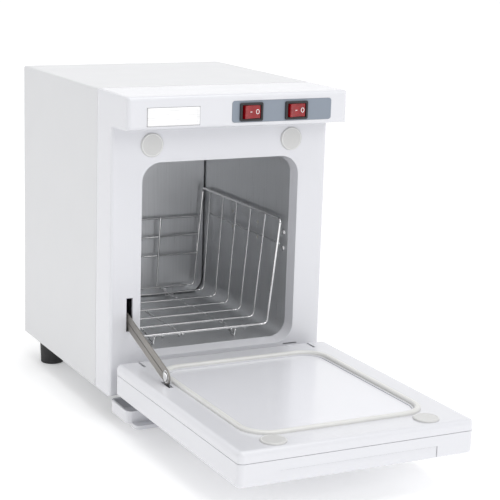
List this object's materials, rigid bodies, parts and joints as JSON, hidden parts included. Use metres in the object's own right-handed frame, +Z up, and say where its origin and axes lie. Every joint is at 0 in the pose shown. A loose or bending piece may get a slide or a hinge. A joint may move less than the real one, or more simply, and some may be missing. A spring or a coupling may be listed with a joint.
{
  "type": "hot towel cabinet",
  "caption": "Box-shaped table-top hot towel cabinet with a hood over a drop-down door, a wire towel basket in a sheet-metal cavity, rocker switches and a drip tray.",
  "frame": {"origin": "under the middle of the whole object with its door open, on the surface it stands on", "axes": "+Z up, -Y towards the user (the open door lies towards -Y), +X to the right as seen from the front"},
  "size_m": [0.205, 0.473, 0.2875],
  "materials": {
    "moulding": "glossy white",
    "sheet_white": "white powder coat",
    "liner": "brushed",
    "galvanised": "plain sheet",
    "steel": "bright plated",
    "screw_steel": "plated",
    "panel_grey": "satin grey",
    "plate_grey": "satin",
    "black_plastic": "fine satin",
    "rocker_red": "gloss red",
    "brass": "bright",
    "rubber": "matt",
    "gasket": "satin white",
    "door_gloss": "high gloss",
    "aluminium": "plain",
    "foam": "foam",
    "glass": "clear",
    "magnet": "nickel"
  },
  "bodies": {
    "cabinet": {"front_bezel": "moulding", "outer_shell": "sheet_white", "back_panel": "sheet_white", "base_panel": "galvanised", "back_screws": "screw_steel", "inner_liner": "liner", "liner_back": "liner", "liner_rivets": "aluminium", "insulation_wrap": "foam", "liner_screws": "screw_steel", "heater_plate": "aluminium", "heater_clamp": "galvanised", "thermostat": "aluminium", "thermal_fuse": "brass", "uv_lamp_tube": "glass", "uv_lamp_caps": "aluminium", "uv_lamp_sockets": "black_plastic", "uv_lamp_guard": "liner", "component_shelf": "galvanised", "uv_ballast": "black_plastic", "terminal_block": "plate_grey", "control_panel": "panel_grey", "name_plate": "plate_grey", "switch_bodies": "black_plastic", "switch_terminals": "brass", "power_inlet": "black_plastic", "inlet_pins": "brass", "inlet_screws": "screw_steel", "fuse_holder": "black_plastic", "hinge_brackets": "galvanised", "moulding_screws": "screw_steel", "catch_caps": "steel", "catch_magnets": "magnet", "stay_guide": "galvanised", "guide_screws": "screw_steel", "tray_rails": "galvanised", "rubber_feet": "rubber", "foot_nuts": "screw_steel", "foot_screws": "screw_steel"},
    "door": {"door_outer_shell": "moulding", "door_inner_frame": "moulding", "door_panel": "door_gloss", "door_gasket": "gasket", "door_insulation": "foam", "door_screws": "screw_steel", "bracket_foot_screws": "screw_steel", "door_catch_caps": "steel", "door_catch_plates": "magnet", "hinge_pins": "screw_steel", "stay_bracket": "galvanised", "stay_pivot_pin": "steel"},
    "stay": {"stay_arm": "steel", "stay_stop_pin": "steel"},
    "power_switch": {"power_rocker": "rocker_red"},
    "uv_switch": {"uv_rocker": "rocker_red"},
    "basket": {"basket_floor": "steel", "basket_side_right": "steel", "basket_side_left": "steel", "basket_rear": "steel"},
    "tray": {"drip_tray": "moulding"}
  },
  "joints": [
    {"name": "door_hinge", "type": "hinge", "parent": "cabinet", "child": "door", "pos_m": [0, -0.016, 0.037], "axis": [-1, 0, 0], "range_deg": [0, 90]},
    {"name": "stay_swing", "type": "hinge", "parent": "door", "child": "stay", "pos_m": [-0.0852, -0.072, 0.0655], "axis": [-1, 0, 0], "range_deg": [-76, 0]},
    {"name": "power_rocker_tilt", "type": "hinge", "parent": "cabinet", "child": "power_switch", "pos_m": [0.052, -0.022, 0.2721], "axis": [0, 0, -1], "range_deg": [0, 18]},
    {"name": "uv_rocker_tilt", "type": "hinge", "parent": "cabinet", "child": "uv_switch", "pos_m": [0.0092, -0.022, 0.2721], "axis": [0, 0, -1], "range_deg": [0, 18]},
    {"name": "basket_slide", "type": "slide", "parent": "cabinet", "child": "basket", "axis": [0, 0.9945, -0.1045], "range_m": [-0.16, 0]},
    {"name": "tray_slide", "type": "slide", "parent": "cabinet", "child": "tray", "axis": [0, -1, 0], "range_m": [0, 0.035]}
  ],
  "couplings": [
    {"joint": "stay_swing", "follows": "door_hinge", "ratio": -0.84}
  ]
}
